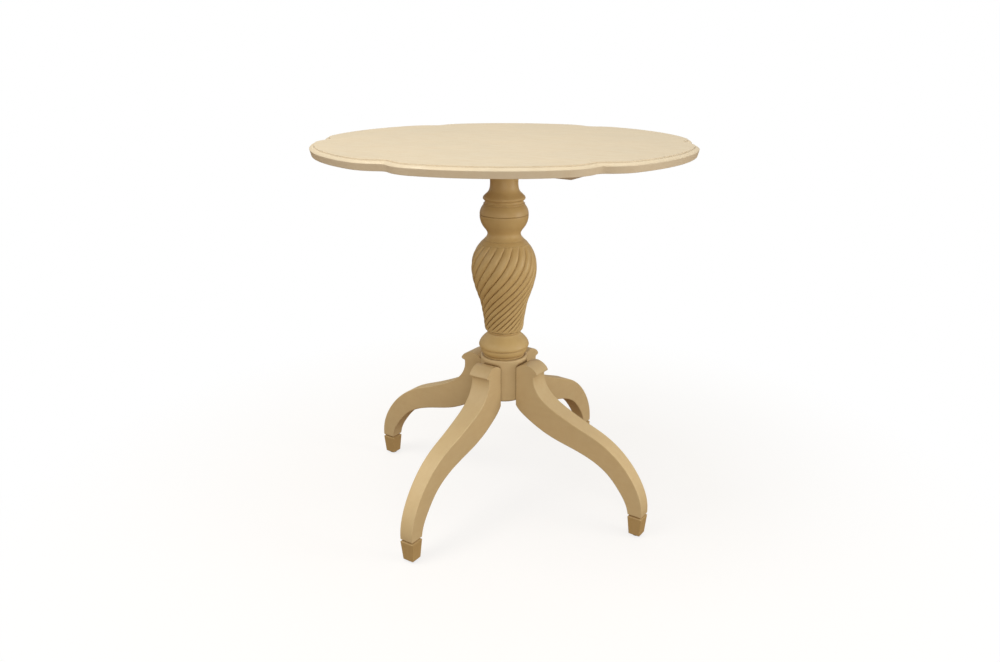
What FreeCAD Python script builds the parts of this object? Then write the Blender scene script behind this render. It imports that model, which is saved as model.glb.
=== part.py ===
import FreeCAD, Part
import math
import os

# Tilt top table, millimetres, +Z up, origin on the floor under the column axis.
# The legs point along +X, -X, +Y and -Y; the top swings about an axis along Y.

# ---------------------------------------------------------------- overall
TABLE_HEIGHT = 737.0
TOP_DIAMETER = 715.0
FOOT_CENTRE_RADIUS = 313.0
HUB_RADIUS = 47.5
HUB_TOP = 311.5
HUB_BOTTOM = 226.0
HUB_EASE = 3.0

# ---------------------------------------------------------------- top
TOP_THICKNESS = 18.0
LOBE_COUNT = 6
DIP_DEPTH = 18.0
DIP_RADIUS = 16.0
CORNER_RADIUS = 80.0
EDGE_STEP_WIDTH = 8.5
EDGE_STEP_DROP = 2.0
EDGE_SHOULDER_DROP = 3.6
EDGE_ARRIS = 0.8
EDGE_UNDERCUT = 3.0

# ---------------------------------------------------------------- bearers
BEARER_LENGTH = 500.0
BEARER_THICKNESS = 24.0
BEARER_DEPTH = 24.0
BEARER_TAPER_LENGTH = 42.0
BEARER_END_DEPTH = 9.0
BEARER_OFFSET = 100.0
SCREW_RECESS = 6.0

# ---------------------------------------------------------------- tilting block
BLOCK_LENGTH = 160.0
BLOCK_THICKNESS = 26.0
BLOCK_SIDE_GAP = 1.3
BLOCK_EASE = 2.0
NOSE_CLEARANCE = 0.4
TENON_RADIUS = 20.0
TENON_TIP_GAP = 0.5
WEDGE_TOP_WIDTH = 4.0
WEDGE_TIP_WIDTH = 1.6
WEDGE_DEPTH = 18.0

# ---------------------------------------------------------------- pivot hardware
PIN_RADIUS = 5.0
PIN_GRIP = 30.0
PIN_HEAD_RADIUS = 8.0
PIN_HEAD_HEIGHT = 3.5
BUSH_WALL = 2.0
WASHER_RADIUS = 10.0
WASHER_THICKNESS = 1.0
END_FLOAT = 0.3

# ---------------------------------------------------------------- catch
CATCH_LENGTH = 54.0
CATCH_WIDTH = 32.0
CATCH_PLATE = 2.0
HOUSING_WIDTH = 15.0
HOUSING_LENGTH = 40.0
BOLT_RADIUS = 4.0
BOLT_DROP = 9.5
BOLT_LENGTH = 44.0
BOLT_THROW = 10.0
BOLT_REST_GAP = 2.0
STEM_RADIUS = 2.0
KNOB_RADIUS = 5.5
KEEPER_WIDTH = 36.0
KEEPER_HEIGHT = 20.0
KEEPER_THICKNESS = 2.0
KEEPER_HOLE_EXTRA = 0.6

# ---------------------------------------------------------------- column
COLUMN_PATTERN = 384.5
NECK_RADIUS = 27.4
RING_RADIUS = 41.0
BULB_RADIUS = 47.4
LOWER_NECK_RADIUS = 32.4
URN_RADIUS = 64.4
TORUS_RADIUS = 50.4
BAND_RADIUS = 47.4
COVE_RADIUS = 43.0
FOOT_TENON_RADIUS = 24.0
REED_COUNT = 20
REED_DEPTH = 3.8
REED_TOP_RISE = 232.0
REED_BOTTOM_RISE = 55.4
REED_FADE = 9.0
TWIST_RATE_TOP = 0.42
TWIST_RATE_BOTTOM = 1.55
REED_PHASE = -27.0

# ---------------------------------------------------------------- legs
LEG_ROOT_WIDTH = 42.0
LEG_ANKLE_WIDTH = 29.0
LEG_EASE = 1.6
BLOCK_TOP = 306.5
BLOCK_INNER_DROP = 10.0
BLOCK_CREST_BACK = 25.0
NOSE_RADIUS_FROM_AXIS = 92.0
NOTCH_DEPTH = 3.4
NOTCH_HALF_HEIGHT = 2.8
FOOT_TOP = 44.0
FOOT_TOP_WIDTH = 29.0
FOOT_BOTTOM_WIDTH = 23.0
DOVETAIL_DEPTH = 15.0
DOVETAIL_MOUTH = 14.0
DOVETAIL_BACK = 20.0
DOVETAIL_TOP = 292.0
DOWEL_RADIUS = 5.0
DOWEL_LENGTH = 40.0

# ---------------------------------------------------------------- glides and plate
GLIDE_RADIUS = 8.5
GLIDE_HEIGHT = 4.0
GLIDE_NAIL_RADIUS = 1.25
GLIDE_NAIL_LENGTH = 12.0
PLATE_RADIUS = 43.0
PLATE_THICKNESS = 2.5

# ---------------------------------------------------------------- fits
RUNNING_FIT = 0.06
BOLT_FIT = 0.1
GLUE_LINE = 0.05
PRESS_FIT = 0.03
STEM_SIDE_GAP = 0.4

# ---------------------------------------------------------------- derived
UNDERSIDE = TABLE_HEIGHT - TOP_THICKNESS
BLOCK_BOTTOM = UNDERSIDE - BLOCK_THICKNESS
PIVOT_Z = UNDERSIDE - BLOCK_THICKNESS / 2
PIVOT_X = -(BLOCK_LENGTH - BLOCK_THICKNESS) / 2
BEARER_INNER = BEARER_OFFSET - BEARER_THICKNESS / 2
BEARER_OUTER = BEARER_OFFSET + BEARER_THICKNESS / 2
BLOCK_HALF_WIDTH = BEARER_INNER - BLOCK_SIDE_GAP
BEARER_BOTTOM = UNDERSIDE - BEARER_DEPTH
BUSH_RADIUS = PIN_RADIUS + RUNNING_FIT + BUSH_WALL
COLUMN_SCALE = (BLOCK_BOTTOM - HUB_TOP) / COLUMN_PATTERN
REED_TOP = HUB_TOP + REED_TOP_RISE * COLUMN_SCALE
REED_BOTTOM = HUB_TOP + REED_BOTTOM_RISE * COLUMN_SCALE
BOLT_Z = UNDERSIDE - BOLT_DROP
KEEPER_FACE = BLOCK_LENGTH / 2 + KEEPER_THICKNESS
BOLT_TIP = KEEPER_FACE + BOLT_REST_GAP
HOUSING_START = BOLT_TIP + 1.5
CATCH_MIDDLE = KEEPER_FACE + BOLT_REST_GAP + CATCH_LENGTH / 2
STEM_X = HOUSING_START + HOUSING_LENGTH / 2 + BOLT_THROW / 2
ANKLE_OUTER = FOOT_CENTRE_RADIUS + FOOT_TOP_WIDTH / 2
ANKLE_INNER = FOOT_CENTRE_RADIUS - FOOT_TOP_WIDTH / 2
UP = FreeCAD.Vector(0, 0, 1)
ORIGIN = FreeCAD.Vector(0, 0, 0)
BEARER_SCREWS_X = (-0.36, -0.06, 0.14, 0.36)
# Two of the hand-fitted legs stand a little off square.
LEG_DIRECTIONS = (("front", -89.0), ("right", 0.0), ("back", 87.0), ("left", 180.0))


def vec(x, y, z):
    return FreeCAD.Vector(x, y, z)


def turned(shape, degrees):
    copy = shape.copy()
    copy.rotate(ORIGIN, UP, degrees)
    return copy


def moved(shape, x, y, z):
    copy = shape.copy()
    copy.translate(vec(x, y, z))
    return copy


def rod(radius, length, start, direction):
    return Part.makeCylinder(radius, length, start, direction)


def box(x0, x1, y0, y1, z0, z1):
    return Part.makeBox(x1 - x0, y1 - y0, z1 - z0, vec(x0, y0, z0))


def export(shape, name):
    """Write one node; a single solid goes out bare, a group of equal parts as a compound."""
    solids = shape.Solids
    node = solids[0] if len(solids) == 1 else Part.makeCompound(solids)
    node.exportStep(os.path.join("parts", name + ".step"))


def spline_edge(points):
    curve = Part.BSplineCurve()
    curve.interpolate(points)
    return curve.toShape()


def line_edge(a, b):
    return Part.makeLine(a, b)


def arc_edge(a, middle, b):
    return Part.Arc(a, middle, b).toShape()


# ================================================================ table top
def polar(x, y, radius, angle, z):
    return vec(x + radius * math.cos(angle), y + radius * math.sin(angle), z)


def outline_arcs():
    """Centre, radius, hollow or not, first angle and sweep of every arc of the outline.

    Each lobe is an arc about the table's centre, rounded at its ends into a small hollow dip."""
    rim = TOP_DIAMETER / 2
    half = math.pi / LOBE_COUNT
    corner = rim - CORNER_RADIUS
    dip = rim - DIP_DEPTH + DIP_RADIUS
    meet = CORNER_RADIUS + DIP_RADIUS
    turn = math.acos((corner ** 2 + dip ** 2 - meet ** 2) / (2 * corner * dip))
    lean = math.atan2(corner * math.sin(turn), dip - corner * math.cos(turn))
    arcs = []
    for k in range(LOBE_COUNT):
        a = 2 * half * k
        b = a + half
        before = polar(0, 0, corner, b - turn, 0)
        hollow = polar(0, 0, dip, b, 0)
        after = polar(0, 0, corner, b + turn, 0)
        arcs.append((0.0, 0.0, rim, False, a - half + turn, 2 * (half - turn)))
        arcs.append((before.x, before.y, CORNER_RADIUS, False, b - turn, turn + lean))
        arcs.append((hollow.x, hollow.y, DIP_RADIUS, True, b + math.pi + lean, -2 * lean))
        arcs.append((after.x, after.y, CORNER_RADIUS, False, b - lean, turn + lean))
    return arcs


def outline_wire(inset, z):
    """Closed outline of the top, moved inward by the inset."""
    edges = []
    for cx, cy, radius, hollow, first, sweep in outline_arcs():
        r = radius + inset if hollow else radius - inset
        ends = [polar(cx, cy, r, first + share * sweep, z) for share in (0, 0.5, 1)]
        edges.append(arc_edge(ends[0], ends[1], ends[2]))
    return Part.Wire(edges)


def edge_section(width):
    """Moulded edge: inward distance from the outline and height, with arc middles marked.

    A small step runs round the top, then a rounded shoulder, an eased arris and a plain face."""
    shelf = TABLE_HEIGHT - EDGE_STEP_DROP
    inner = EDGE_STEP_WIDTH - 0.5
    arris = shelf - EDGE_SHOULDER_DROP
    face = arris - EDGE_ARRIS
    return [
        ("line", (width, TABLE_HEIGHT), (EDGE_STEP_WIDTH, TABLE_HEIGHT)),
        ("line", (EDGE_STEP_WIDTH, TABLE_HEIGHT), (inner, shelf)),
        ("arc", (inner, shelf), (EDGE_ARRIS, arris),
         (0.45 * inner, shelf - 0.27 * EDGE_SHOULDER_DROP)),
        ("arc", (EDGE_ARRIS, arris), (0.0, face), (0.26 * EDGE_ARRIS, arris - 0.4 * EDGE_ARRIS)),
        ("line", (0.0, face), (EDGE_UNDERCUT, UNDERSIDE)),
        ("line", (EDGE_UNDERCUT, UNDERSIDE), (width, UNDERSIDE)),
        ("line", (width, UNDERSIDE), (width, TABLE_HEIGHT)),
    ]


def edge_piece(width, cx, cy, radius, hollow, start, sweep):
    """Moulded edge turned about the centre of one arc of the outline."""
    sense = 1 if hollow else -1

    def place(point):
        return polar(cx, cy, radius + sense * point[0], start, point[1])

    edges = []
    for kind, a, b, *middle in edge_section(width):
        if kind == "line":
            edges.append(line_edge(place(a), place(b)))
        else:
            edges.append(arc_edge(place(a), place(middle[0]), place(b)))
    face = Part.Face(Part.Wire(edges))
    return face.revolve(vec(cx, cy, 0), UP, math.degrees(sweep))


def moulded_plate():
    width = EDGE_STEP_WIDTH + 6
    core = Part.Face(outline_wire(width, UNDERSIDE)).extrude(vec(0, 0, TOP_THICKNESS))
    pieces = [edge_piece(width, *arc) for arc in outline_arcs()]
    return core.multiFuse(pieces).removeSplitter()


def bearer_screw_spots():
    spots = []
    for side in (-1, 1):
        for share in BEARER_SCREWS_X:
            spots.append((share * BEARER_LENGTH, side * BEARER_OFFSET))
    return spots


def bearer_screw(x, y, slack):
    """Countersunk screw driven up through the bearer into the top."""
    head_z = BEARER_BOTTOM + SCREW_RECESS
    tip = UNDERSIDE + 0.65 * TOP_THICKNESS
    shank = rod(2.3 + slack, tip - head_z, vec(x, y, head_z), UP)
    head = Part.makeCone(4.6 + slack, 2.3 + slack, 3.0, vec(x, y, head_z), UP)
    return shank.fuse(head)


def bearer_screws():
    screws = []
    for x, y in bearer_screw_spots():
        slot = box(x - 6, x + 6, y - 0.6, y + 0.6, BEARER_BOTTOM, BEARER_BOTTOM + SCREW_RECESS + 1)
        screws.append(bearer_screw(x, y, 0).cut(slot))
    return Part.makeCompound(screws)


def table_top():
    plate = moulded_plate()
    holes = [bearer_screw(x, y, PRESS_FIT) for x, y in bearer_screw_spots()]
    holes += [catch_screw(x, y, PRESS_FIT) for x, y in catch_screw_spots()]
    return plate.cut(Part.makeCompound(holes))


# ================================================================ bearers
def bearer(side):
    half = BEARER_LENGTH / 2
    taper = half - BEARER_TAPER_LENGTH
    end_z = UNDERSIDE - BEARER_END_DEPTH
    y0 = side * BEARER_OFFSET - BEARER_THICKNESS / 2
    outline = [
        vec(-half, y0, UNDERSIDE),
        vec(half, y0, UNDERSIDE),
        vec(half, y0, end_z),
        vec(taper, y0, BEARER_BOTTOM),
        vec(-taper, y0, BEARER_BOTTOM),
        vec(-half, y0, end_z),
        vec(-half, y0, UNDERSIDE),
    ]
    solid = Part.Face(Part.makePolygon(outline)).extrude(vec(0, BEARER_THICKNESS, 0))
    lower = [e for e in solid.Edges if e.BoundBox.ZMax < UNDERSIDE - 1 and e.Length > 2 * taper - 1]
    solid = solid.makeChamfer(1.5, lower)
    hole = rod(BUSH_RADIUS + PRESS_FIT, 3 * BEARER_THICKNESS, vec(PIVOT_X, y0 - 5, PIVOT_Z), vec(0, 1, 0))
    cuts = [hole]
    for x, y in bearer_screw_spots():
        if y * side > 0:
            cuts.append(bearer_screw(x, y, PRESS_FIT))
            cuts.append(rod(4.6 + PRESS_FIT, SCREW_RECESS + 4, vec(x, y, BEARER_BOTTOM - 4), UP))
    return solid.cut(Part.makeCompound(cuts))


# ================================================================ tilting block
def pivot_block():
    """Block with one end rounded about the pivot so the top clears it."""
    nose = BLOCK_THICKNESS / 2 - NOSE_CLEARANCE
    right = BLOCK_LENGTH / 2
    half = BLOCK_HALF_WIDTH
    step_x = PIVOT_X + 4
    body = box(step_x, right, -half, half, BLOCK_BOTTOM, UNDERSIDE)
    lower = [e for e in body.Edges if e.BoundBox.ZMax < BLOCK_BOTTOM + 1 and e.BoundBox.XMax > step_x + 1]
    uprights = [e for e in body.Edges if e.BoundBox.XMin > right - 1 and e.BoundBox.ZLength > 1]
    body = body.makeFillet(BLOCK_EASE, lower + uprights)
    link = box(PIVOT_X, step_x + 10, -half, half, PIVOT_Z - nose, PIVOT_Z + nose)
    roll = rod(nose, 2 * half, vec(PIVOT_X, -half, PIVOT_Z), vec(0, 1, 0))
    solid = body.fuse([link, roll])
    reach = KEEPER_THICKNESS + BOLT_THROW + 4
    cuts = [
        rod(TENON_RADIUS + GLUE_LINE, BLOCK_THICKNESS + 2, vec(0, 0, BLOCK_BOTTOM - 1), UP),
        rod(BOLT_RADIUS + KEEPER_HOLE_EXTRA, reach, vec(right - reach + 1, 0, BOLT_Z), vec(1, 0, 0)),
    ]
    for side in (-1, 1):
        start = vec(PIVOT_X, side * (half + 1), PIVOT_Z)
        cuts.append(rod(PIN_RADIUS + PRESS_FIT, PIN_GRIP + 1, start, vec(0, -side, 0)))
    for y in (-1, 1):
        cuts.append(keeper_screw(y * KEEPER_WIDTH * 0.36, PRESS_FIT))
    return solid.cut(Part.makeCompound(cuts)).removeSplitter()


def pivot_pin(side):
    """Shouldered pin: slotted domed head, plain shank running in the bush."""
    outer = BEARER_OUTER + END_FLOAT
    length = outer - (BLOCK_HALF_WIDTH - PIN_GRIP)
    shank = rod(PIN_RADIUS, length, vec(0, 0, 0), UP)
    head = rod(PIN_HEAD_RADIUS, PIN_HEAD_HEIGHT, vec(0, 0, length), UP)
    rim = [e for e in head.Edges if e.BoundBox.ZMin > length + 1]
    head = head.makeFillet(1.6, rim[:1])
    top = length + PIN_HEAD_HEIGHT
    slot = box(-PIN_HEAD_RADIUS, PIN_HEAD_RADIUS, -0.7, 0.7, top - 1.5, top + 1)
    pin = shank.fuse(head).cut(slot)
    pin.rotate(ORIGIN, vec(1, 0, 0), -90 * side)
    return moved(pin, PIVOT_X, side * (BLOCK_HALF_WIDTH - PIN_GRIP), PIVOT_Z)


def pivot_bush(side):
    start = vec(PIVOT_X, side * BEARER_OFFSET - BEARER_THICKNESS / 2, PIVOT_Z)
    outer = rod(BUSH_RADIUS, BEARER_THICKNESS, start, vec(0, 1, 0))
    return outer.cut(rod(PIN_RADIUS + RUNNING_FIT, BEARER_THICKNESS, start, vec(0, 1, 0)))


def pivot_washer(side):
    start = vec(PIVOT_X, side * BLOCK_HALF_WIDTH, PIVOT_Z)
    outer = rod(WASHER_RADIUS, WASHER_THICKNESS, start, vec(0, side, 0))
    return outer.cut(rod(PIN_RADIUS + RUNNING_FIT, WASHER_THICKNESS, start, vec(0, side, 0)))


# ================================================================ catch
def catch_screw_spots():
    spots = []
    for i in (-1, 1):
        for j in (-1, 1):
            spots.append((CATCH_MIDDLE + i * (CATCH_LENGTH / 2 - 5), j * (CATCH_WIDTH / 2 - 5)))
    return spots


def catch_screw(x, y, slack):
    base = UNDERSIDE - CATCH_PLATE
    shank = rod(1.5 + slack, 9 + CATCH_PLATE, vec(x, y, base), UP)
    head = Part.makeCone(2.9 + slack, 1.5 + slack, 1.5, vec(x, y, base), UP)
    return shank.fuse(head)


def catch_screws():
    screws = []
    for x, y in catch_screw_spots():
        base = UNDERSIDE - CATCH_PLATE
        slot = box(x - 4, x + 4, y - 0.4, y + 0.4, base - 1, base + 0.7)
        screws.append(catch_screw(x, y, 0).cut(slot))
    return Part.makeCompound(screws)


def catch_case():
    """Brass plate with a half round housing bored for the bolt and slotted for its knob."""
    x0 = CATCH_MIDDLE - CATCH_LENGTH / 2
    y0 = CATCH_WIDTH / 2
    plate = box(x0, x0 + CATCH_LENGTH, -y0, y0, UNDERSIDE - CATCH_PLATE, UNDERSIDE)
    corners = [e for e in plate.Edges if e.BoundBox.ZLength > 1]
    plate = plate.makeFillet(3, corners)
    along = vec(1, 0, 0)
    start = vec(HOUSING_START, 0, BOLT_Z)
    barrel = rod(HOUSING_WIDTH / 2, HOUSING_LENGTH, start, along)
    cheek = box(HOUSING_START, HOUSING_START + HOUSING_LENGTH, -HOUSING_WIDTH / 2, HOUSING_WIDTH / 2,
                BOLT_Z, UNDERSIDE - CATCH_PLATE / 2)
    bore = rod(BOLT_RADIUS + BOLT_FIT, HOUSING_LENGTH + 2, vec(HOUSING_START - 1, 0, BOLT_Z), along)
    gap = STEM_RADIUS + STEM_SIDE_GAP
    slot = box(STEM_X - BOLT_THROW - gap, STEM_X + gap, -gap, gap, BOLT_Z - HOUSING_WIDTH, BOLT_Z)
    solid = plate.fuse([barrel, cheek]).cut(Part.makeCompound([bore, slot]))
    holes = [catch_screw(x, y, PRESS_FIT) for x, y in catch_screw_spots()]
    return solid.cut(Part.makeCompound(holes)).removeSplitter()


def catch_bolt():
    shaft = rod(BOLT_RADIUS, BOLT_LENGTH, vec(BOLT_TIP, 0, BOLT_Z), vec(1, 0, 0))
    ends = [e for e in shaft.Edges if e.BoundBox.XLength < 0.1]
    shaft = shaft.makeChamfer(0.8, ends)
    return shaft.cut(rod(STEM_RADIUS + PRESS_FIT, 2 * BOLT_RADIUS, vec(STEM_X, 0, BOLT_Z), vec(0, 0, -1)))


def catch_knob():
    """Turned knob on a stem screwed into the bolt."""
    bottom = BOLT_Z - HOUSING_WIDTH / 2 - 11
    stem_top = BOLT_Z - PRESS_FIT
    ball_z = bottom + KNOB_RADIUS
    stem = rod(STEM_RADIUS, stem_top - ball_z, vec(STEM_X, 0, ball_z), UP)
    ball = Part.makeSphere(KNOB_RADIUS, vec(STEM_X, 0, ball_z))
    return stem.fuse(ball).removeSplitter()


def keeper_screw(y, slack):
    face = KEEPER_FACE
    shank = rod(1.5 + slack, 12, vec(face - 12, y, BOLT_Z - 1), vec(1, 0, 0))
    head = Part.makeCone(1.5 + slack, 2.9 + slack, 1.5, vec(face - 1.5, y, BOLT_Z - 1), vec(1, 0, 0))
    return shank.fuse(head)


def keeper_screws():
    screws = []
    for side in (-1, 1):
        y = side * KEEPER_WIDTH * 0.36
        slot = box(KEEPER_FACE - 0.7, KEEPER_FACE + 1, y - 0.4, y + 0.4, BOLT_Z - 6, BOLT_Z + 4)
        screws.append(keeper_screw(y, 0).cut(slot))
    return Part.makeCompound(screws)


def keeper_plate():
    z1 = UNDERSIDE - 0.6
    x0 = BLOCK_LENGTH / 2
    plate = box(x0, KEEPER_FACE, -KEEPER_WIDTH / 2, KEEPER_WIDTH / 2, z1 - KEEPER_HEIGHT, z1)
    corners = [e for e in plate.Edges if e.BoundBox.XLength > 1 and e.BoundBox.YLength < 0.1]
    plate = plate.makeFillet(2, corners)
    hole = rod(BOLT_RADIUS + KEEPER_HOLE_EXTRA, 10, vec(x0 - 3, 0, BOLT_Z), vec(1, 0, 0))
    screws = [keeper_screw(side * KEEPER_WIDTH * 0.36, PRESS_FIT) for side in (-1, 1)]
    return plate.cut(Part.makeCompound([hole] + screws))


# ================================================================ column
def at(radius, rise):
    """Point of the column outline; the rise above the hub follows the column height."""
    return vec(radius, 0, HUB_TOP + rise * COLUMN_SCALE)


def through(pairs):
    return spline_edge([at(r, rise) for r, rise in pairs])


def joined(parts):
    """Wire of given edges with straight links between the loose ends."""
    edges = []
    last = None
    for part in parts:
        first = part.Vertexes[0].Point
        if last is not None and last.sub(first).Length > 1e-6:
            edges.append(line_edge(last, first))
        edges.append(part)
        last = part.Vertexes[-1].Point
    edges.append(line_edge(last, parts[0].Vertexes[0].Point))
    return Part.Wire(Part.__sortEdges__(edges))


def turned_solid(parts):
    return Part.Face(joined(parts)).revolve(ORIGIN, UP, 360)


def upper_turning():
    """Tenon, neck, ring, bulb, lower neck and the plain shoulder over the reeds."""
    waist = RING_RADIUS - 3
    bulb = BULB_RADIUS
    tip = UNDERSIDE - TENON_TIP_GAP
    cap = NECK_RADIUS + 8
    parts = [
        line_edge(vec(0, 0, REED_TOP), vec(0, 0, tip)),
        line_edge(vec(TENON_RADIUS, 0, tip), vec(TENON_RADIUS, 0, BLOCK_BOTTOM)),
        line_edge(vec(cap, 0, BLOCK_BOTTOM), at(cap, 379)),
        through([(cap - 1.5, 378), (NECK_RADIUS + 1.2, 363), (NECK_RADIUS, 343),
                 (NECK_RADIUS + 3, 333.5), (RING_RADIUS - 4.6, 327.2), (RING_RADIUS - 1, 323.4)]),
        arc_edge(at(RING_RADIUS - 0.6, 322.6), at(RING_RADIUS, 320.4), at(RING_RADIUS - 1, 318)),
        through([(waist, 317), (waist - 0.8, 314), (waist + 1.4, 310.6)]),
        line_edge(at(waist + 2, 310.4), at(waist + 2, 309)),
        through([(waist + 1.4, 308.2), (bulb - 2.2, 299.5), (bulb, 290)]),
        line_edge(at(bulb - 1.3, 289), at(bulb - 0.2, 287.8)),
        through([(bulb, 286.6), (bulb - 2, 275.2), (bulb - 4.6, 269), (bulb - 8.8, 262.6),
                 (LOWER_NECK_RADIUS + 2, 257), (LOWER_NECK_RADIUS, 251.5),
                 (LOWER_NECK_RADIUS + 0.9, 247), (LOWER_NECK_RADIUS + 3.2, 243.4),
                 (LOWER_NECK_RADIUS + 6.4, 240)]),
        through([(LOWER_NECK_RADIUS + 6.2, 239.2), (LOWER_NECK_RADIUS + 10, 236.4),
                 (LOWER_NECK_RADIUS + 14.4, REED_TOP_RISE)]),
    ]
    return turned_solid(parts)


def lower_turning():
    """Small bead, flare, torus, band and the tenon that enters the hub."""
    start = REED_BOTTOM_RISE
    bead = LOWER_NECK_RADIUS + 1
    torus = TORUS_RADIUS
    end = HUB_BOTTOM + 0.5
    parts = [
        line_edge(vec(0, 0, end), vec(0, 0, REED_BOTTOM)),
        line_edge(at(bead + 0.8, start), at(bead + 0.4, start - 0.8)),
        arc_edge(at(bead, start - 1.4), at(bead + 1.2, start - 3.6), at(bead, start - 5.8)),
        through([(bead - 1.2, start - 6.6), (bead + 1, start - 10.6), (torus - 10.6, 39.4),
                 (torus - 4.6, 33), (torus - 1.2, 27), (torus, 21.4), (torus - 0.9, 19)]),
        line_edge(at(BAND_RADIUS + 0.2, 18.6), at(BAND_RADIUS - 1.2, 18)),
        arc_edge(at(BAND_RADIUS - 0.9, 17.4), at(BAND_RADIUS - 0.9, 11.4), at(BAND_RADIUS - 4.2, 5.6)),
        arc_edge(at(COVE_RADIUS - 1.4, 4.8), at(COVE_RADIUS - 2.6, 2.6), at(COVE_RADIUS - 1.6, 0)),
        line_edge(at(FOOT_TENON_RADIUS, 0), vec(FOOT_TENON_RADIUS, 0, end)),
    ]
    return turned_solid(parts)


def urn_curve():
    """Swelling of the reeded urn, from its foot up."""
    shares = [(0.587, REED_BOTTOM_RISE), (0.606, 61), (0.626, 74), (0.672, 92), (0.73, 111.7),
              (0.828, 130.5), (0.921, 149.5), (0.981, 167.4), (1.0, 183), (0.967, 201.5),
              (0.885, 216.6), (0.773, 228), (0.72, REED_TOP_RISE)]
    curve = Part.BSplineCurve()
    curve.interpolate([at(share * URN_RADIUS, rise) for share, rise in shares])
    return curve


def twist(z):
    """Turn of the reeds, slow at the top and quick at the foot."""
    span = REED_TOP - REED_BOTTOM
    t = (REED_TOP - z) / span
    gain = TWIST_RATE_BOTTOM - TWIST_RATE_TOP
    return span * (TWIST_RATE_TOP * t + gain * (t / 2 - math.sin(math.pi * t) / (2 * math.pi)))


def fade(z):
    """Groove strength, dying out at both ends of the urn."""
    edge = min(z - REED_BOTTOM, REED_TOP - z) / REED_FADE
    share = max(0.0, min(1.0, edge))
    return 0.12 + 0.88 * math.sin(0.5 * math.pi * share)


def reed_surface(rows, across):
    """One reed between two grooves as a surface through its crown and flanks."""
    curve = urn_curve()
    first = curve.FirstParameter
    step = (curve.LastParameter - first) / (rows - 1)
    pitch = 360.0 / REED_COUNT
    grid = []
    for i in range(rows):
        p = curve.value(first + i * step)
        depth = REED_DEPTH * fade(p.z) * (0.45 + 0.55 * p.x / URN_RADIUS)
        line = []
        for j in range(across):
            s = 2.0 * j / (across - 1) - 1.0
            radius = p.x - depth * abs(s) ** 3
            angle = math.radians(REED_PHASE - twist(p.z) + 0.5 * pitch * s)
            line.append(vec(radius * math.cos(angle), radius * math.sin(angle), p.z))
        grid.append(line)
    surface = Part.BSplineSurface()
    surface.interpolate(grid)
    return surface


def reeded_urn():
    surface = reed_surface(31, 11)
    patch = surface.toShape()
    patches = [turned(patch, k * 360.0 / REED_COUNT) for k in range(REED_COUNT)]
    caps = []
    for z in (REED_BOTTOM, REED_TOP):
        rims = []
        for piece in patches:
            rims += [e for e in piece.Edges if e.BoundBox.ZLength < 0.2 and abs(e.CenterOfMass.z - z) < 0.1]
        caps.append(Part.Face(Part.Wire(Part.__sortEdges__(rims))))
    shell = Part.Shell(patches + caps)
    shell.sewShape()
    return Part.Solid(shell)


def column():
    urn = reeded_urn()
    solid = urn.fuse([upper_turning(), lower_turning()]).removeSplitter()
    return solid.cut(column_wedge_form())


def column_wedge_form():
    """Tapered wedge across the tenon, spreading it in the block."""
    top = UNDERSIDE - TENON_TIP_GAP
    half = TENON_RADIUS * 1.1
    tip = top - WEDGE_DEPTH
    outline = [
        vec(-WEDGE_TOP_WIDTH / 2, -half, top),
        vec(WEDGE_TOP_WIDTH / 2, -half, top),
        vec(WEDGE_TIP_WIDTH / 2, -half, tip),
        vec(-WEDGE_TIP_WIDTH / 2, -half, tip),
        vec(-WEDGE_TOP_WIDTH / 2, -half, top),
    ]
    return Part.Face(Part.makePolygon(outline)).extrude(vec(0, 2 * half, 0))


def column_wedge():
    tenon = rod(TENON_RADIUS, BLOCK_THICKNESS, vec(0, 0, BLOCK_BOTTOM), UP)
    return column_wedge_form().common(tenon)


# ================================================================ hub and legs
def hub():
    top = HUB_TOP
    parts = [
        line_edge(vec(0, 0, HUB_BOTTOM), vec(0, 0, top)),
        arc_edge(vec(HUB_RADIUS - HUB_EASE, 0, top), vec(HUB_RADIUS - 0.3 * HUB_EASE, 0, top - 0.3 * HUB_EASE),
                 vec(HUB_RADIUS, 0, top - HUB_EASE)),
        line_edge(vec(HUB_RADIUS, 0, HUB_BOTTOM + 1), vec(HUB_RADIUS - 1, 0, HUB_BOTTOM)),
    ]
    solid = turned_solid(parts)
    cuts = [rod(FOOT_TENON_RADIUS + GLUE_LINE, 2 * HUB_TOP, vec(0, 0, 0), UP)]
    for name, angle in LEG_DIRECTIONS:
        cuts.append(turned(dovetail(GLUE_LINE, HUB_BOTTOM - 1), angle))
    cuts += [hub_screw(x, y, PRESS_FIT) for x, y in hub_screw_spots()]
    return solid.cut(Part.makeCompound(cuts))


def dovetail(slack, bottom):
    """Dovetail key along +X, widening toward the column axis."""
    mouth = HUB_RADIUS + 4
    back = HUB_RADIUS - DOVETAIL_DEPTH
    flare = (DOVETAIL_BACK - DOVETAIL_MOUTH) / 2 / DOVETAIL_DEPTH
    half_mouth = DOVETAIL_MOUTH / 2 - flare * 4 + slack
    half_back = DOVETAIL_BACK / 2 + slack
    outline = [
        vec(mouth, -half_mouth, bottom),
        vec(mouth, half_mouth, bottom),
        vec(back - slack, half_back, bottom),
        vec(back - slack, -half_back, bottom),
        vec(mouth, -half_mouth, bottom),
    ]
    return Part.Face(Part.makePolygon(outline)).extrude(vec(0, 0, DOVETAIL_TOP + slack - bottom))


def leg_point(start, reach, share, rise):
    """Point of the leg outline from shares of its reach and of its height."""
    return vec(start + share * reach, 0, FOOT_TOP + rise * (BLOCK_TOP - FOOT_TOP))


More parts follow.
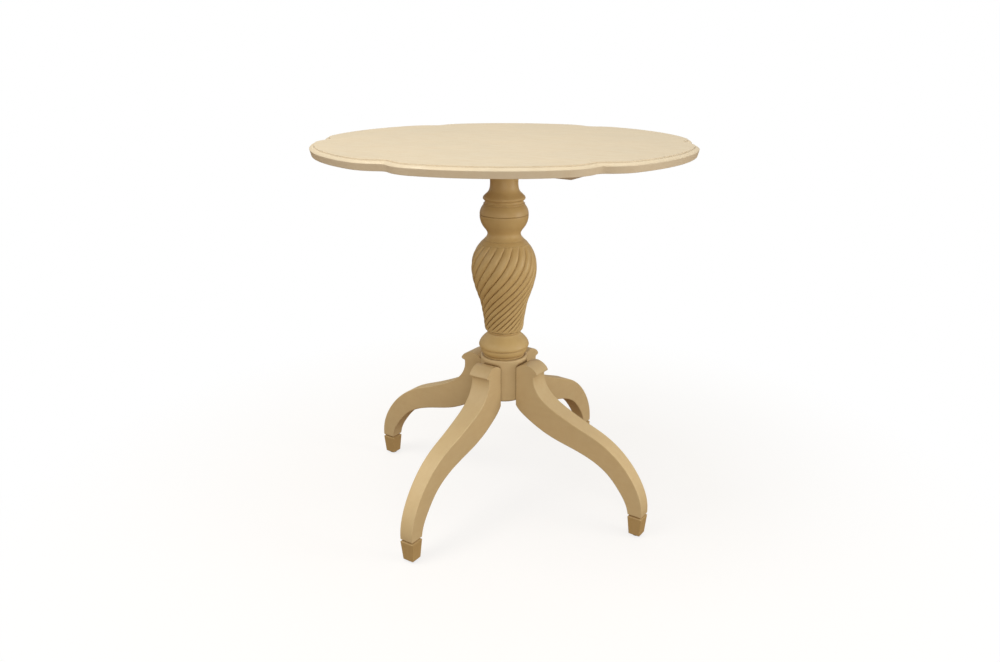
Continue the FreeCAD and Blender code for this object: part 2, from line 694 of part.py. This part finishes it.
def sweep_edge():
    """Upper S curve from the undercut below the nose down to the ankle."""
    nose = NOSE_RADIUS_FROM_AXIS
    reach = ANKLE_OUTER - nose
    shares = [(-0.03, 0.922), (-0.024, 0.849), (0.021, 0.779), (0.111, 0.712), (0.247, 0.651),
              (0.417, 0.589), (0.579, 0.533), (0.723, 0.456), (0.843, 0.356), (0.928, 0.251),
              (0.983, 0.141)]
    points = [leg_point(nose, reach, share, rise) for share, rise in shares]
    return spline_edge(points + [vec(ANKLE_OUTER, 0, FOOT_TOP + NOTCH_HALF_HEIGHT)])


def hollow_edge():
    """Lower curve from the ankle up to the hub."""
    reach = ANKLE_INNER - HUB_RADIUS
    shares = [(0.976, 0.087), (0.918, 0.175), (0.832, 0.269), (0.753, 0.325), (0.653, 0.371),
              (0.521, 0.411), (0.378, 0.446), (0.254, 0.486), (0.178, 0.520), (0.071, 0.577),
              (0.011, 0.619), (-0.016, 0.648)]
    points = [leg_point(HUB_RADIUS, reach, share, rise) for share, rise in shares]
    return spline_edge([vec(ANKLE_INNER, 0, FOOT_TOP + NOTCH_HALF_HEIGHT)] + points)


def leg_outline():
    """Side view of a leg along +X: rounded shoulder block, undercut nose and S curved sweep."""
    nose = NOSE_RADIUS_FROM_AXIS
    top = BLOCK_TOP
    crest = nose - BLOCK_CREST_BACK
    inner = HUB_RADIUS - 4
    halfway = (inner + crest) / 2
    crown = spline_edge([
        vec(inner, 0, top - BLOCK_INNER_DROP),
        vec(halfway, 0, top - 0.27 * BLOCK_INNER_DROP),
        vec(crest, 0, top),
        vec(crest + 0.45 * BLOCK_CREST_BACK, 0, top - 3.0),
        vec(crest + 0.8 * BLOCK_CREST_BACK, 0, top - 8.8),
        vec(nose, 0, top - 15.5),
    ])
    under = arc_edge(vec(nose, 0, top - 15.5), vec(nose - 0.6, 0, top - 17.8), vec(nose - 2.6, 0, top - 19))
    bevel = vec(ANKLE_OUTER - NOTCH_DEPTH, 0, FOOT_TOP)
    inner_bevel = vec(ANKLE_INNER + NOTCH_DEPTH, 0, FOOT_TOP)
    return joined([crown, under, sweep_edge(), line_edge(bevel, inner_bevel), hollow_edge()])


def taper_cutters():
    """Two prisms that narrow the leg from its root width to the ankle width."""
    root = NOSE_RADIUS_FROM_AXIS
    far = ANKLE_OUTER + 10
    slope = (LEG_ROOT_WIDTH - LEG_ANKLE_WIDTH) / 2 / (FOOT_CENTRE_RADIUS - root)
    cutters = []
    for side in (-1, 1):
        wide = LEG_ROOT_WIDTH / 2
        narrow = wide - slope * (far - root)
        outline = [
            vec(root, side * wide, 0),
            vec(far, side * narrow, 0),
            vec(far, side * (wide + 5), 0),
            vec(root, side * (wide + 5), 0),
            vec(root, side * wide, 0),
        ]
        cutters.append(Part.Face(Part.makePolygon(outline)).extrude(vec(0, 0, TABLE_HEIGHT)))
    return cutters


def ankle_notch(z, up):
    """Frame that bevels the two flanks of the groove between leg and foot."""
    half = LEG_ANKLE_WIDTH / 2
    rise = NOTCH_HALF_HEIGHT if up else -NOTCH_HALF_HEIGHT
    frames = []
    for side in (-1, 1):
        outline = [
            vec(0, side * (half - NOTCH_DEPTH), z),
            vec(0, side * (half + 3), z),
            vec(0, side * (half + 3), z + rise * (1 + 3 / NOTCH_DEPTH)),
            vec(0, side * (half - NOTCH_DEPTH), z),
        ]
        prism = Part.Face(Part.makePolygon(outline)).extrude(vec(ANKLE_OUTER + 20, 0, 0))
        frames.append(prism)
    return frames


def foot_dowel(slack):
    start = vec(FOOT_CENTRE_RADIUS, 0, FOOT_TOP - DOWEL_LENGTH / 2)
    return rod(DOWEL_RADIUS + slack, DOWEL_LENGTH, start, UP)


def leg():
    half = LEG_ROOT_WIDTH / 2
    face = Part.Face(leg_outline())
    solid = moved(face.extrude(vec(0, LEG_ROOT_WIDTH, 0)), 0, -half, 0)
    solid = solid.cut(taper_cutters())
    long_edges = [e for e in solid.Edges if e.BoundBox.ZLength > 60 and e.BoundBox.XLength > 30]
    solid = solid.makeFillet(LEG_EASE, long_edges)
    hollow = rod(HUB_RADIUS + GLUE_LINE, TABLE_HEIGHT, ORIGIN, UP)
    solid = solid.cut(ankle_notch(FOOT_TOP, True) + [hollow])
    key = dovetail(0, HUB_BOTTOM)
    solid = solid.fuse(key).removeSplitter()
    return solid.cut(foot_dowel(GLUE_LINE))


def foot():
    """Square block tapering to the floor, beveled at the top where it meets the leg."""
    shoulder = FOOT_TOP - NOTCH_HALF_HEIGHT
    neck_width = FOOT_TOP_WIDTH - 2 * NOTCH_DEPTH
    base = square(FOOT_BOTTOM_WIDTH, GLIDE_HEIGHT)
    wide = square(FOOT_TOP_WIDTH, shoulder)
    neck = square(neck_width, FOOT_TOP)
    body = Part.makeLoft([base, wide], True, True)
    edges = [e for e in body.Edges if e.BoundBox.ZLength > 10]
    body = body.makeFillet(1.2, edges)
    cap = Part.makeLoft([wide, neck], True, True)
    solid = body.fuse(cap).removeSplitter()
    nail = rod(GLIDE_NAIL_RADIUS + PRESS_FIT, GLIDE_NAIL_LENGTH + 1,
               vec(FOOT_CENTRE_RADIUS, 0, GLIDE_HEIGHT - 1), UP)
    return solid.cut(Part.makeCompound([foot_dowel(GLUE_LINE), nail]))


def square(width, z):
    h = width / 2
    x = FOOT_CENTRE_RADIUS
    corners = [vec(x - h, -h, z), vec(x + h, -h, z), vec(x + h, h, z), vec(x - h, h, z), vec(x - h, -h, z)]
    return Part.makePolygon(corners)


def glide():
    """Domed nail-on glide."""
    x = FOOT_CENTRE_RADIUS
    pad = rod(GLIDE_RADIUS, GLIDE_HEIGHT, vec(x, 0, 0), UP)
    lower = [e for e in pad.Edges if e.BoundBox.ZMax < 1]
    pad = pad.makeFillet(1.8, lower)
    nail = rod(GLIDE_NAIL_RADIUS, GLIDE_HEIGHT + GLIDE_NAIL_LENGTH - 1, vec(x, 0, 1), UP)
    return pad.fuse(nail).removeSplitter()


# ================================================================ hub plate
def hub_screw_spots():
    spots = [(0.0, 0.0)]
    reach = FOOT_TENON_RADIUS + 9.5
    for k in range(4):
        a = math.radians(45 + 90 * k)
        spots.append((reach * math.cos(a), reach * math.sin(a)))
    return spots


def hub_screw(x, y, slack):
    base = HUB_BOTTOM - PLATE_THICKNESS
    shank = rod(2.0 + slack, 26 + PLATE_THICKNESS, vec(x, y, base), UP)
    head = Part.makeCone(4.0 + slack, 2.0 + slack, 2.0, vec(x, y, base), UP)
    return shank.fuse(head)


def hub_screws():
    base = HUB_BOTTOM - PLATE_THICKNESS
    screws = []
    for x, y in hub_screw_spots():
        slot = box(x - 5, x + 5, y - 0.5, y + 0.5, base - 1, base + 1)
        screws.append(hub_screw(x, y, 0).cut(slot))
    return Part.makeCompound(screws)


def hub_plate():
    plate = rod(PLATE_RADIUS, PLATE_THICKNESS, vec(0, 0, HUB_BOTTOM - PLATE_THICKNESS), UP)
    return plate.cut(Part.makeCompound([hub_screw(x, y, PRESS_FIT) for x, y in hub_screw_spots()]))


# ================================================================ assembly
def build():
    os.makedirs("parts", exist_ok=True)
    export(table_top(), "table_top")
    export(pivot_block(), "pivot_block")
    for name, side in (("front", -1), ("back", 1)):
        export(bearer(side), "bearer_" + name)
        export(pivot_pin(side), "pivot_pin_" + name)
        export(pivot_bush(side), "pivot_bush_" + name)
        export(pivot_washer(side), "pivot_washer_" + name)
    export(bearer_screws(), "bearer_screws")
    export(catch_case(), "catch_case")
    export(catch_bolt(), "catch_bolt")
    export(catch_knob(), "catch_knob")
    export(catch_screws(), "catch_screws")
    export(keeper_plate(), "keeper_plate")
    export(keeper_screws(), "keeper_screws")
    post = column().cut(Part.makeCompound([hub_screw(0.0, 0.0, PRESS_FIT)]))
    export(post, "column")
    export(column_wedge(), "column_wedge")
    export(hub(), "hub")
    one_leg = leg()
    one_foot = foot()
    one_glide = glide()
    dowels = []
    for name, angle in LEG_DIRECTIONS:
        export(turned(one_leg, angle), "leg_" + name)
        export(turned(one_foot, angle), "foot_" + name)
        export(turned(one_glide, angle), "glide_" + name)
        dowels.append(turned(foot_dowel(0), angle))
    export(Part.makeCompound(dowels), "foot_dowels")
    export(hub_plate(), "hub_plate")
    export(hub_screws(), "hub_screws")


build()
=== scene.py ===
import math

import bpy
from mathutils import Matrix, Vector

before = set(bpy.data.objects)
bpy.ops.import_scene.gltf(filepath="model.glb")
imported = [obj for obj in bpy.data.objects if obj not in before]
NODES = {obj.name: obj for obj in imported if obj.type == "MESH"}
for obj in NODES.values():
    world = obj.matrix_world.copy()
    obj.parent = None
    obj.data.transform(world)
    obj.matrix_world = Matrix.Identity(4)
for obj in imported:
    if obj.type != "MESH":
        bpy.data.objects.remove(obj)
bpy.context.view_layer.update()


# ------------------------------------------------------------------ chosen values
# Paint colours are sRGB, 0 to 255. The table has one paint: the column, legs, hub and feet colours
# are darker, warmer copies of the top's paint, painted shade for the less light they get.
PAINT_TOP = (236, 223, 197)
PAINT_COLUMN_SHADED = (222, 194, 136)
PAINT_LEGS_SHADED = (223, 200, 155)
PAINT_FEET_SHADED = (200, 171, 119)
# Brown of the glaze and of the painted shade laid into recesses and joints between parts.
GLAZE_AND_SHADE = (128, 84, 28)
BRIGHTEST = 250.0

# Stretch of the noise: the grain runs along the axis that is scaled least.
GRAIN_X = (1.0, 9.0, 9.0)
GRAIN_Y = (9.0, 1.0, 9.0)
GRAIN_Z = (9.0, 9.0, 1.0)
GRAIN_TURNED = (6.0, 6.0, 4.0)

# Azimuth in degrees, distance and height in metres, the two small turns in radians.
VIEW_AZIMUTH = 34.0
VIEW_DISTANCE = 1.6
VIEW_HEIGHT = 0.911
VIEW_DOWN = 0.332
VIEW_TURN = 0.005
SENSOR = 36.0
LENS = 30.2

# The floor is shaded near the table and plain white beyond.
FLOOR_RADIUS = 9.0
SHADE_FROM = 0.45
SHADE_TO = 1.05
FLOOR_GLOW = 0.76
WHITE = (1.0, 1.0, 1.0, 1.0)
WORLD_COLOUR = (0.57, 0.53, 0.47, 1.0)
FLOOR_COLOUR = (0.16, 0.08, 0.03, 1.0)
LAMP_WHITE = (1.0, 0.95, 0.87)

# Every lamp points at the middle of the table, AIM_HEIGHT above the floor. Each row: name,
# azimuth from the camera (right positive), height angle, distance, size, colour, power.
AIM_HEIGHT = 0.42
LIGHTS = [
    ("front", 0.0, 28.0, 2.8, 1.2, LAMP_WHITE, 2.0),
    ("front_low", 5.0, 5.0, 2.8, 1.2, LAMP_WHITE, 12.0),
    ("right_low", 72.0, 6.0, 2.8, 1.2, LAMP_WHITE, 20.0),
    ("right_high", 60.0, 60.0, 2.6, 1.2, LAMP_WHITE, 5.0),
    ("left", -60.0, 30.0, 2.8, 1.2, LAMP_WHITE, 5.5),
    ("left_high", -60.0, 60.0, 2.6, 1.2, LAMP_WHITE, 21.0),
    ("back", 180.0, 45.0, 2.6, 1.4, LAMP_WHITE, 2.5),
]


# ------------------------------------------------------------------ node helpers
class Graph:
    """Small helper that wires a material's nodes."""

    def __init__(self, name):
        self.material = bpy.data.materials.new(name)
        self.material.use_nodes = True
        self.tree = self.material.node_tree
        self.tree.nodes.clear()

    def add(self, kind, **settings):
        node = self.tree.nodes.new(kind)
        inputs = settings.pop("inputs", {})
        for key, value in settings.items():
            setattr(node, key, value)
        for key, value in inputs.items():
            if isinstance(value, bpy.types.NodeSocket):
                self.tree.links.new(value, node.inputs[key])
            else:
                node.inputs[key].default_value = value
        return node

    def noise(self, vector, scale, detail=3.0, rough=0.55, distortion=0.0):
        node = self.add("ShaderNodeTexNoise", inputs={
            "Vector": vector, "Scale": scale, "Detail": detail, "Roughness": rough,
            "Distortion": distortion})
        return node.outputs["Fac"]

    def stretch(self, scale, turn=(0.0, 0.0, 0.0)):
        place = self.add("ShaderNodeTexCoord").outputs["Object"]
        return self.add("ShaderNodeMapping", inputs={
            "Vector": place, "Scale": scale, "Rotation": turn}).outputs["Vector"]

    def math(self, operation, a, b=0.0, clamp=False):
        return self.add("ShaderNodeMath", operation=operation, use_clamp=clamp,
                        inputs={0: a, 1: b}).outputs[0]

    def span(self, value, low, high, to_low=0.0, to_high=1.0):
        return self.add("ShaderNodeMapRange", clamp=True, inputs={
            "Value": value, "From Min": low, "From Max": high,
            "To Min": to_low, "To Max": to_high}).outputs["Result"]

    def mix(self, factor, a, b, blend="MIX"):
        node = self.add("ShaderNodeMix", data_type="RGBA", blend_type=blend)
        for key, value in ((0, factor), (6, a), (7, b)):
            if isinstance(value, bpy.types.NodeSocket):
                self.tree.links.new(value, node.inputs[key])
            else:
                node.inputs[key].default_value = value
        return node.outputs[2]

    def finish(self, shader):
        out = self.add("ShaderNodeOutputMaterial")
        self.tree.links.new(shader, out.inputs["Surface"])
        return self.material


def srgb(r, g, b):
    """Linear colour of an sRGB one, 0 to 255."""
    def linear(v):
        v /= 255.0
        return v / 12.92 if v <= 0.04045 else ((v + 0.055) / 1.055) ** 2.4
    return (linear(r), linear(g), linear(b), 1.0)


def tinted(paint, red, green, blue):
    """The paint colour with each channel scaled."""
    return srgb(*(min(part * scale, BRIGHTEST) for part, scale in zip(paint, (red, green, blue))))


# ------------------------------------------------------------------ materials
def painted_wood(name, paint, grain, glaze_and_shade_depth=0.9, streak=0.10, highlight_and_scuff_amount=0.22, glaze_and_shade_reach=0.007):
    """Satin paint: brush marks, faint grain, brown glaze and painted shade in the recesses, painted
    highlight and wear on the edges.
    """
    g = Graph(name)
    cool = tinted(paint, 0.97, 0.98, 0.99)
    warm = tinted(paint, 0.89, 0.83, 0.73)
    highlight_and_scuff_colour = tinted(paint, 1.05, 1.06, 1.08)
    place = g.add("ShaderNodeTexCoord").outputs["Object"]
    along = g.stretch(grain)
    strokes = g.noise(along, 14.0, 4.0, 0.6)
    fine = g.noise(along, 60.0, 3.0, 0.65)
    cloud = g.noise(place, 9.0, 3.0, 0.5)
    mottle = g.noise(place, 55.0, 4.0, 0.6)
    dust = g.noise(place, 330.0, 2.0, 0.6)

    # Glaze and painted shade: occlusion darkens recesses, the step under the top's rim and the
    # joints between parts towards the brown.
    hollow = g.add("ShaderNodeAmbientOcclusion", samples=10,
                   inputs={"Distance": glaze_and_shade_reach}).outputs["AO"]
    depth = g.span(hollow, 0.30, 0.84, 1.0, 0.0)
    broken = g.span(mottle, 0.3, 0.7, 0.8, 1.15)
    depth = g.math("MULTIPLY", g.math("MULTIPLY", depth, broken, True), glaze_and_shade_depth, True)
    # Painted highlight and wear: convex edges are made lighter and cooler than the paint.
    edge = g.add("ShaderNodeAmbientOcclusion", samples=6, inside=True, only_local=True,
                 inputs={"Distance": 0.0028}).outputs["AO"]
    highlight_and_scuff = g.math("MULTIPLY", g.span(edge, 0.22, 0.60, 1.0, 0.0), highlight_and_scuff_amount)
    highlight_and_scuff = g.math("MULTIPLY", highlight_and_scuff, g.span(fine, 0.35, 0.65, 0.3, 1.0))

    tone = g.mix(g.span(cloud, 0.32, 0.68, 0.0, 0.7), srgb(*paint), cool)
    tone = g.mix(g.span(mottle, 0.40, 0.72, 0.0, 0.14), tone, warm)
    tone = g.mix(g.span(strokes, 0.42, 0.70, 0.0, streak), tone, warm)
    tone = g.mix(g.span(dust, 0.66, 0.78, 0.0, 0.22), tone, warm)
    tone = g.mix(depth, tone, srgb(*GLAZE_AND_SHADE))
    tone = g.mix(highlight_and_scuff, tone, highlight_and_scuff_colour)

    height = g.math("ADD", g.math("MULTIPLY", strokes, 0.55), g.math("MULTIPLY", fine, 0.45))
    soft = g.add("ShaderNodeBevel", samples=4, inputs={"Radius": 0.0012}).outputs["Normal"]
    bump = g.add("ShaderNodeBump", inputs={
        "Height": height, "Strength": 0.10, "Distance": 0.0005, "Normal": soft}).outputs["Normal"]
    rough = g.span(strokes, 0.3, 0.7, 0.36, 0.50)
    bsdf = g.add("ShaderNodeBsdfPrincipled", inputs={
        "Base Color": tone, "Roughness": rough, "Normal": bump,
        "Specular IOR Level": 0.40, "Coat Weight": 0.08, "Coat Roughness": 0.32})
    return g.finish(bsdf.outputs[0])


def bare_wood(name, grain):
    """Unpainted hardwood with long growth lines and pores."""
    g = Graph(name)
    along = g.stretch(grain)
    rings = g.noise(along, 14.0, 5.0, 0.6, 0.6)
    pores = g.noise(along, 90.0, 2.0, 0.7)
    tone = g.mix(g.span(rings, 0.3, 0.7), srgb(196, 152, 104), srgb(150, 106, 64))
    tone = g.mix(g.span(pores, 0.6, 0.75, 0.0, 0.5), tone, srgb(104, 70, 40))
    bump = g.add("ShaderNodeBump", inputs={"Height": pores, "Strength": 0.2, "Distance": 0.0004})
    bsdf = g.add("ShaderNodeBsdfPrincipled", inputs={
        "Base Color": tone, "Roughness": 0.6, "Normal": bump.outputs["Normal"]})
    return g.finish(bsdf.outputs[0])


def metal(name, bright, dark, roughness, grain):
    """Brushed metal with tarnish in its corners."""
    g = Graph(name)
    place = g.add("ShaderNodeTexCoord").outputs["Object"]
    brush = g.noise(g.stretch(grain), 60.0, 3.0, 0.6)
    patch = g.noise(place, 45.0, 4.0, 0.6)
    hollow = g.add("ShaderNodeAmbientOcclusion", samples=6,
                   inputs={"Distance": 0.004}).outputs["AO"]
    corners = g.span(hollow, 0.4, 0.95, 0.7, 0.0)
    blotches = g.span(patch, 0.5, 0.75, 0.0, 0.5)
    tarnish = g.math("ADD", corners, blotches, True)
    tone = g.mix(tarnish, bright, dark)
    rough = g.span(brush, 0.3, 0.7, roughness - 0.07, roughness + 0.1)
    bump = g.add("ShaderNodeBump", inputs={"Height": brush, "Strength": 0.12, "Distance": 0.0002})
    bsdf = g.add("ShaderNodeBsdfPrincipled", inputs={
        "Base Color": tone, "Metallic": 1.0, "Roughness": rough, "Normal": bump.outputs["Normal"]})
    return g.finish(bsdf.outputs[0])


def glide_plastic(name):
    """Dark scuffed plastic of the glides."""
    g = Graph(name)
    place = g.add("ShaderNodeTexCoord").outputs["Object"]
    scuff = g.noise(place, 420.0, 3.0, 0.7)
    tone = g.mix(g.span(scuff, 0.5, 0.72, 0.0, 0.6), srgb(66, 47, 26), srgb(112, 88, 58))
    rough = g.span(scuff, 0.3, 0.7, 0.45, 0.75)
    bump = g.add("ShaderNodeBump", inputs={"Height": scuff, "Strength": 0.25, "Distance": 0.0003})
    bsdf = g.add("ShaderNodeBsdfPrincipled", inputs={
        "Base Color": tone, "Roughness": rough, "Normal": bump.outputs["Normal"]})
    return g.finish(bsdf.outputs[0])


def dress(material, *names):
    """Gives the named nodes one material."""
    for name in names:
        mesh = NODES[name].data
        mesh.materials.clear()
        mesh.materials.append(material)


def dress_table():
    """Gives every node of the table its material."""
    # The column, hub, legs and feet take shaded copies of the top's paint: painted shade.
    top = painted_wood("paint top", PAINT_TOP, GRAIN_X, 1.0, 0.07, 0.22, 0.012)
    turned = painted_wood("shaded paint turned", PAINT_COLUMN_SHADED, GRAIN_TURNED, 0.9, 0.12)
    across = painted_wood("shaded paint legs across", PAINT_LEGS_SHADED, GRAIN_X)
    along = painted_wood("shaded paint legs along", PAINT_LEGS_SHADED, GRAIN_Y)
    upright = painted_wood("shaded paint feet", PAINT_FEET_SHADED, GRAIN_Z, 0.9, 0.10, 0.10)
    dress(top, "table_top", "bearer_front", "bearer_back", "pivot_block")
    dress(turned, "column")
    dress(painted_wood("shaded paint hub", PAINT_LEGS_SHADED, GRAIN_Z), "hub")
    dress(across, "leg_right", "leg_left")
    dress(along, "leg_front", "leg_back")
    dress(upright, "foot_front", "foot_right", "foot_back", "foot_left")
    dress(bare_wood("bare wood", GRAIN_Z), "column_wedge", "foot_dowels")
    brass = metal("aged brass", srgb(178, 148, 98), srgb(94, 70, 38), 0.40, GRAIN_Y)
    dress(brass, "pivot_bush_front", "pivot_bush_back", "pivot_washer_front", "pivot_washer_back",
          "catch_case", "catch_bolt", "catch_knob", "catch_screws", "keeper_plate", "keeper_screws")
    steel = metal("plated steel", srgb(176, 176, 174), srgb(96, 92, 86), 0.36, GRAIN_X)
    dress(steel, "pivot_pin_front", "pivot_pin_back", "bearer_screws", "hub_plate", "hub_screws")
    dress(glide_plastic("glide plastic"), "glide_front", "glide_right", "glide_back", "glide_left")


# ------------------------------------------------------------------ floor, light and camera
def studio_floor():
    """Pale floor that fades to white away from the table and sends it a dim brownish light."""
    bpy.ops.mesh.primitive_circle_add(
        vertices=96, radius=FLOOR_RADIUS, fill_type="NGON", location=(0, 0, 0))
    floor = bpy.context.object
    floor.name = "studio_floor"
    g = Graph("studio floor")
    place = g.add("ShaderNodeTexCoord").outputs["Object"]
    reach = g.add("ShaderNodeVectorMath", operation="LENGTH", inputs={0: place}).outputs["Value"]
    far = g.span(reach, SHADE_FROM, SHADE_TO)
    lit = g.add("ShaderNodeBsdfDiffuse", inputs={"Color": (0.26, 0.255, 0.25, 1.0)}).outputs[0]
    glow = g.add("ShaderNodeEmission", inputs={"Color": WHITE, "Strength": FLOOR_GLOW}).outputs[0]
    near = g.add("ShaderNodeAddShader", inputs={0: lit, 1: glow}).outputs[0]
    white = g.add("ShaderNodeEmission", inputs={"Color": WHITE, "Strength": 1.0}).outputs[0]
    seen = g.add("ShaderNodeMixShader", inputs={0: far, 1: near, 2: white}).outputs[0]
    bounce = g.add("ShaderNodeEmission", inputs={"Color": FLOOR_COLOUR, "Strength": 1.0}).outputs[0]
    camera = g.add("ShaderNodeLightPath").outputs["Is Camera Ray"]
    both = g.add("ShaderNodeMixShader", inputs={0: camera, 1: bounce, 2: seen}).outputs[0]
    floor.data.materials.append(g.finish(both))


def studio_world():
    """White to the camera, warm room light to everything else."""
    world = bpy.data.worlds.new("studio world")
    bpy.context.scene.world = world
    world.use_nodes = True
    tree = world.node_tree
    tree.nodes.clear()
    path = tree.nodes.new("ShaderNodeLightPath")
    white = tree.nodes.new("ShaderNodeBackground")
    white.inputs["Strength"].default_value = 1.0
    white.inputs["Color"].default_value = WHITE
    room = tree.nodes.new("ShaderNodeBackground")
    room.inputs["Color"].default_value = WORLD_COLOUR
    room.inputs["Strength"].default_value = 1.0
    mix = tree.nodes.new("ShaderNodeMixShader")
    out = tree.nodes.new("ShaderNodeOutputWorld")
    tree.links.new(path.outputs["Is Camera Ray"], mix.inputs[0])
    tree.links.new(room.outputs[0], mix.inputs[1])
    tree.links.new(white.outputs[0], mix.inputs[2])
    tree.links.new(mix.outputs[0], out.inputs["Surface"])


def studio_lights():
    """Round soft lamps, all aimed at the middle of the table."""
    for name, side, height, distance, size, colour, power in LIGHTS:
        turn = math.radians(VIEW_AZIMUTH + side)
        lift = math.radians(height)
        level = math.cos(lift)
        away = Vector((math.sin(turn) * level, -math.cos(turn) * level, math.sin(lift)))
        data = bpy.data.lights.new(name, "AREA")
        data.shape = "DISK"
        data.size = size
        data.color = colour
        data.energy = power
        lamp = bpy.data.objects.new(name, data)
        bpy.context.scene.collection.objects.link(lamp)
        lamp.location = Vector((0, 0, AIM_HEIGHT)) + away * distance
        lamp.rotation_mode = "QUATERNION"
        lamp.rotation_quaternion = away.to_track_quat("Z", "Y")


def camera():
    """The main view: from the front corner between two legs, a little above the top."""
    data = bpy.data.cameras.new("camera")
    data.sensor_width = SENSOR
    data.lens = LENS
    data.clip_start = 0.05
    data.clip_end = 60.0
    data.dof.use_dof = False
    eye = bpy.data.objects.new("camera", data)
    bpy.context.scene.collection.objects.link(eye)
    turn = math.radians(VIEW_AZIMUTH)
    eye.location = (math.sin(turn) * VIEW_DISTANCE, -math.cos(turn) * VIEW_DISTANCE, VIEW_HEIGHT)
    eye.rotation_euler = (math.radians(90.0) - VIEW_DOWN, 0.0, turn + VIEW_TURN)
    bpy.context.scene.camera = eye


dress_table()
studio_floor()
studio_world()
studio_lights()
camera()
bpy.context.scene.view_settings.view_transform = "Standard"
bpy.context.scene.view_settings.look = "None"
